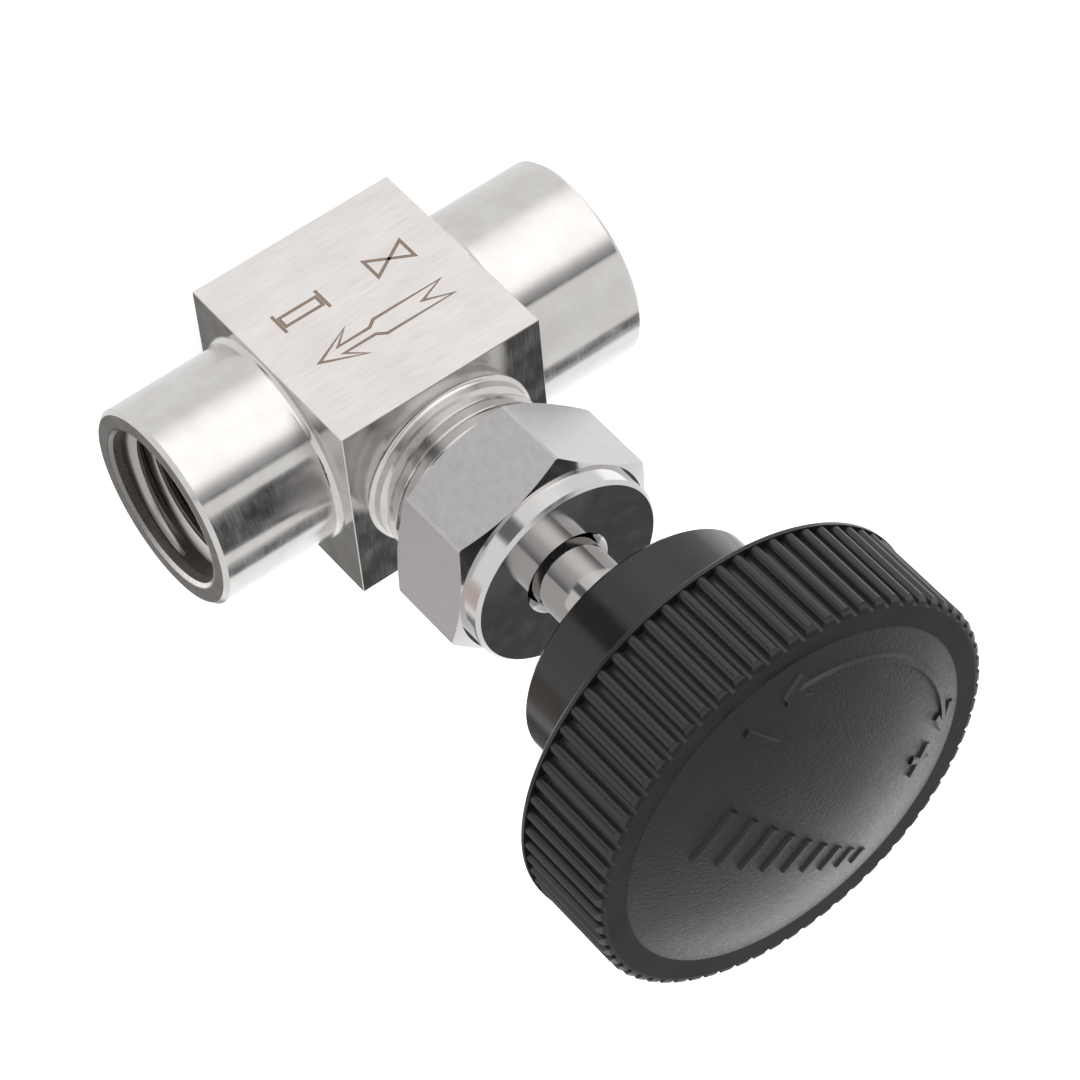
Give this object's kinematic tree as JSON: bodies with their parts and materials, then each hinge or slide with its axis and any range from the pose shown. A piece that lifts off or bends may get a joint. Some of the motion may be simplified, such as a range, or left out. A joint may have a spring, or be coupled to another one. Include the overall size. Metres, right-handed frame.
{
  "type": "needle valve",
  "caption": "Compact in-line needle valve: square steel body with two female pipe ports, packed bonnet, rising polished stem and ribbed black handwheel with a domed top.",
  "frame": {"origin": "centre of the underside of the body block, on the stem axis", "axes": "+Z along the stem towards the handwheel, +X along the pipe line in the direction of flow, -Y out of the face with the flow arrow"},
  "size_m": [0.0392, 0.0352, 0.0633],
  "materials": {
    "body_steel": "milled and finely brushed, turned bright on the ports and bonnet",
    "turned_steel": "turned",
    "nut_steel": "satin drawn flats, bright turned collar",
    "stem_steel": "polished",
    "ptfe": "waxy matt",
    "black_plastic": "semi-matt moulded, fine grain on the domed top",
    "insert_brass": "turned",
    "black_screw": "black oxide"
  },
  "bodies": {
    "valve": {"valve_body": "body_steel", "packing_washer": "turned_steel", "packing_ring_lower": "ptfe", "packing_ring_middle": "ptfe", "packing_ring_upper": "ptfe", "packing_gland": "turned_steel", "packing_nut": "nut_steel"},
    "needle": {"needle_tip": "stem_steel"},
    "wheel_and_stem": {"stem": "stem_steel", "tip_retaining_ring": "turned_steel", "handwheel": "black_plastic", "hub_insert": "insert_brass", "hub_set_screw": "black_screw"}
  },
  "joints": [
    {"name": "stem_lift", "type": "slide", "parent": "valve", "child": "needle", "axis": [0, 0, 1], "range_m": [-0.003, 0.001]},
    {"name": "handwheel_turn", "type": "hinge", "parent": "needle", "child": "wheel_and_stem", "pos_m": [0, 0, 0.04225], "axis": [0, 0, 1], "range_deg": [-1080, 360]}
  ],
  "couplings": [
    {"joint": "stem_lift", "follows": "handwheel_turn", "m_per_rad": 0.00015915}
  ]
}
